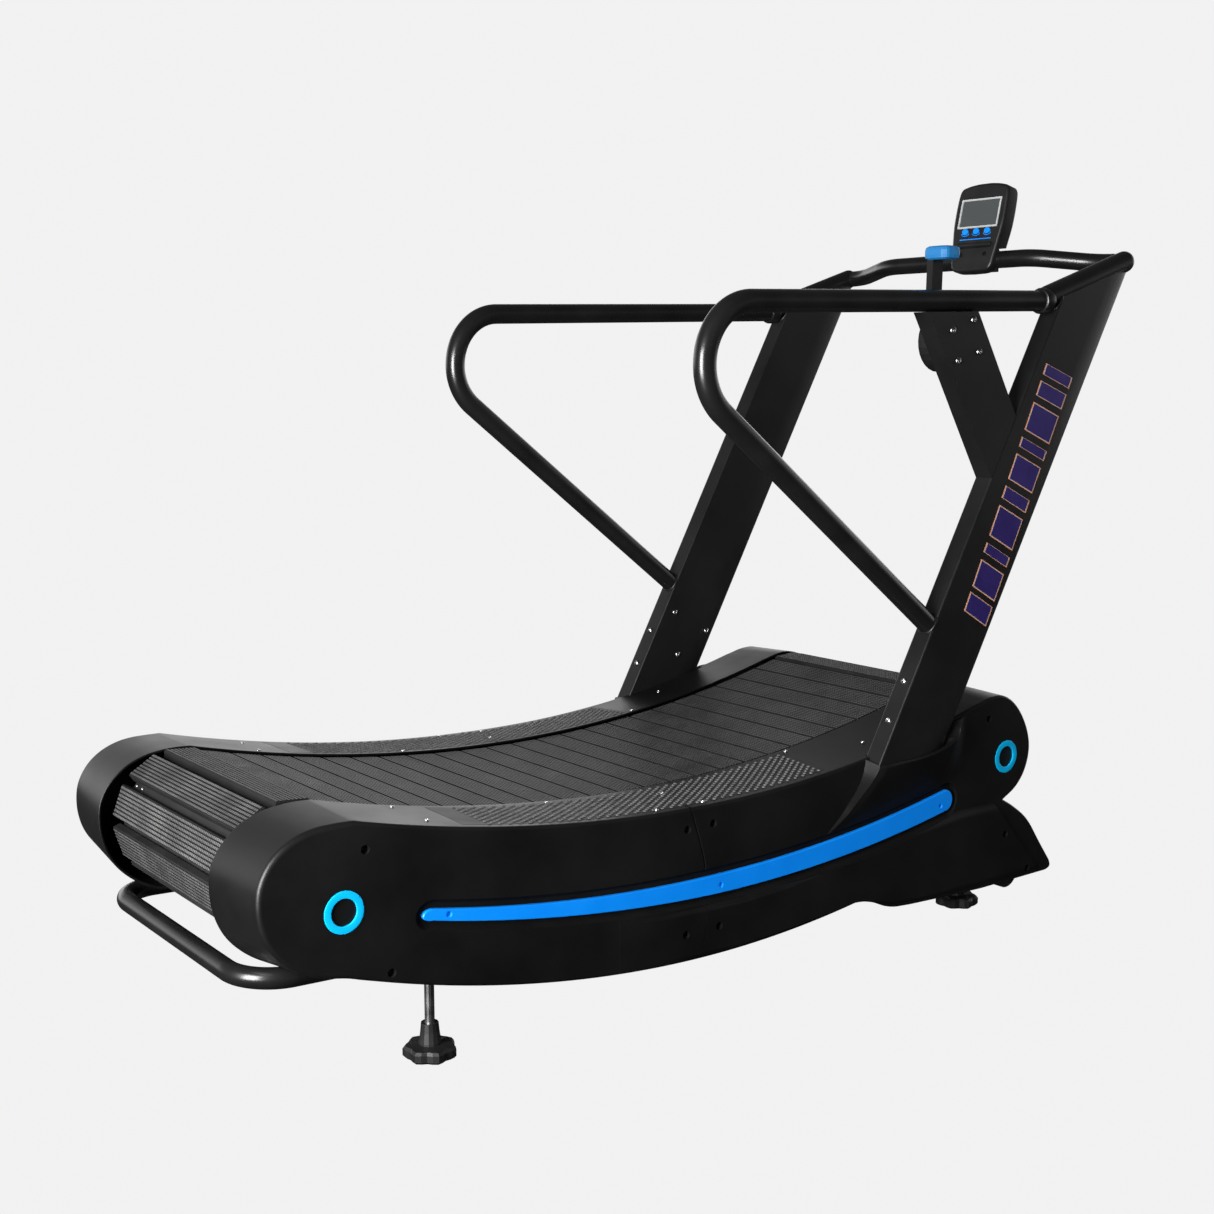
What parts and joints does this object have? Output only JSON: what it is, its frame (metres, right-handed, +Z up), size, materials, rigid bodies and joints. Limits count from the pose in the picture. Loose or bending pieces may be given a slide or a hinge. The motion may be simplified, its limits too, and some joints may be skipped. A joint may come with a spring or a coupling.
{
  "type": "curved manual treadmill",
  "caption": "Manual treadmill with a concave slat belt, leaning uprights with bent handrails, a console on a crossbar and a side resistance lever.",
  "frame": {"origin": "on the floor under the centre of the bounding box", "axes": "+X the way the runner faces, +Y the runner's left, +Z up"},
  "size_m": [2.0712, 0.864, 1.5583],
  "materials": {
    "slat_rubber": "matte black ribbed rubber",
    "cover_plastic": "satin black moulded plastic",
    "ledge_plastic": "satin black plastic with an anti-slip texture",
    "accent_blue": "glossy blue moulding",
    "ring_blue": "glossy light blue ring",
    "upright_paint": "black satin powder coat",
    "tube_paint": "charcoal satin powder coat",
    "frame_paint": "black powder coat",
    "rail_steel": "plain steel rail with steel rollers",
    "axle_steel": "ground steel",
    "drum_alloy": "cast aluminium",
    "bearing_iron": "cast iron",
    "rod_steel": "zinc-plated thread",
    "knob_plastic": "matte black plastic",
    "wheel_rubber": "black solid rubber",
    "brake_alloy": "turned aluminium",
    "yoke_iron": "cast iron",
    "lever_paint": "charcoal satin powder coat",
    "grip_azure": "azure blue moulded grip",
    "housing_plastic": "matte black plastic",
    "cable_rubber": "black cable sheath",
    "console_plastic": "fine-textured black plastic",
    "screen_frame_grey": "light grey frame",
    "screen_glass": "dark LCD window",
    "button_blue": "blue rubbery button"
  },
  "bodies": {
    "frame": {"accent_strip_L": "accent_blue", "accent_strip_R": "accent_blue", "bearing_rail_L": "rail_steel", "bearing_rail_R": "rail_steel", "brace": "upright_paint", "console_clamp": "console_plastic", "console_housing": "console_plastic", "crossbar": "tube_paint", "front_bearing_L": "bearing_iron", "front_bearing_R": "bearing_iron", "front_cover_L": "cover_plastic", "front_cover_R": "cover_plastic", "front_cross_member": "frame_paint", "front_ledge_L": "ledge_plastic", "front_ledge_R": "ledge_plastic", "front_ring_L": "ring_blue", "front_ring_R": "ring_blue", "handrail_L": "tube_paint", "handrail_R": "tube_paint", "lever_cable": "cable_rubber", "lever_housing": "housing_plastic", "lift_handle": "tube_paint", "rear_bearing_L": "bearing_iron", "rear_bearing_R": "bearing_iron", "rear_cover_L": "cover_plastic", "rear_cover_R": "cover_plastic", "rear_cross_member": "frame_paint", "rear_ledge_L": "ledge_plastic", "rear_ledge_R": "ledge_plastic", "rear_ring_L": "ring_blue", "rear_ring_R": "ring_blue", "screen": "screen_glass", "screen_frame": "screen_frame_grey", "side_frame_L": "frame_paint", "side_frame_R": "frame_paint", "slat_belt": "slat_rubber", "upright_L": "upright_paint", "upright_R": "upright_paint"},
    "rear_drum_set": {"rear_axle": "axle_steel", "rear_drum": "drum_alloy"},
    "front_drum_set": {"front_axle": "axle_steel", "front_drum": "drum_alloy", "brake_disc": "brake_alloy"},
    "lever": {"lever_arm": "lever_paint", "lever_grip": "grip_azure"},
    "yoke": {"magnet_yoke": "yoke_iron"},
    "wheel_R": {"transport_wheel_R": "wheel_rubber"},
    "rear_foot_R": {"rear_foot_rod_R": "rod_steel", "rear_foot_knob_R": "knob_plastic"},
    "front_foot_R": {"front_foot_rod_R": "rod_steel", "front_foot_knob_R": "knob_plastic"},
    "wheel_L": {"transport_wheel_L": "wheel_rubber"},
    "rear_foot_L": {"rear_foot_rod_L": "rod_steel", "rear_foot_knob_L": "knob_plastic"},
    "front_foot_L": {"front_foot_rod_L": "rod_steel", "front_foot_knob_L": "knob_plastic"},
    "push_L": {"button_L": "button_blue"},
    "push_M": {"button_M": "button_blue"},
    "push_R": {"button_R": "button_blue"}
  },
  "joints": [
    {"name": "front_drum_spin", "type": "hinge", "parent": "frame", "child": "front_drum_set", "pos_m": [0.668, 0, 0.35225], "axis": [0, 1, 0], "continuous": true},
    {"name": "rear_drum_spin", "type": "hinge", "parent": "frame", "child": "rear_drum_set", "pos_m": [-0.89, 0, 0.33251], "axis": [0, 1, 0], "continuous": true},
    {"name": "lever_swing", "type": "hinge", "parent": "frame", "child": "lever", "pos_m": [0.4955, -0.3345, 1.2], "axis": [0, 1, 0], "range_deg": [-30, 30]},
    {"name": "yoke_swing", "type": "hinge", "parent": "frame", "child": "yoke", "pos_m": [0.538, -0.321, 0.3], "axis": [0, 1, 0], "range_deg": [-6, 6]},
    {"name": "wheel_R_spin", "type": "hinge", "parent": "frame", "child": "wheel_R", "pos_m": [0.802, -0.333, 0.045], "axis": [0, 1, 0], "continuous": true},
    {"name": "rear_foot_R_level", "type": "slide", "parent": "frame", "child": "rear_foot_R", "axis": [0, 0, 1], "range_m": [-0.012, 0.012]},
    {"name": "front_foot_R_level", "type": "slide", "parent": "frame", "child": "front_foot_R", "axis": [0, 0, 1], "range_m": [-0.012, 0.012]},
    {"name": "wheel_L_spin", "type": "hinge", "parent": "frame", "child": "wheel_L", "pos_m": [0.802, 0.333, 0.045], "axis": [0, 1, 0], "continuous": true},
    {"name": "rear_foot_L_level", "type": "slide", "parent": "frame", "child": "rear_foot_L", "axis": [0, 0, 1], "range_m": [-0.012, 0.012]},
    {"name": "front_foot_L_level", "type": "slide", "parent": "frame", "child": "front_foot_L", "axis": [0, 0, 1], "range_m": [-0.012, 0.012]},
    {"name": "button_L_press", "type": "slide", "parent": "frame", "child": "push_L", "axis": [0.9782, 0, -0.2075], "range_m": [0, 0.0012], "stiffness_N_per_m": 600},
    {"name": "button_M_press", "type": "slide", "parent": "frame", "child": "push_M", "axis": [0.9782, 0, -0.2075], "range_m": [0, 0.0012], "stiffness_N_per_m": 600},
    {"name": "button_R_press", "type": "slide", "parent": "frame", "child": "push_R", "axis": [0.9782, 0, -0.2075], "range_m": [0, 0.0012], "stiffness_N_per_m": 600}
  ],
  "couplings": [
    {"joint": "rear_drum_spin", "follows": "front_drum_spin", "ratio": 1},
    {"joint": "yoke_swing", "follows": "lever_swing", "ratio": 0.2}
  ]
}
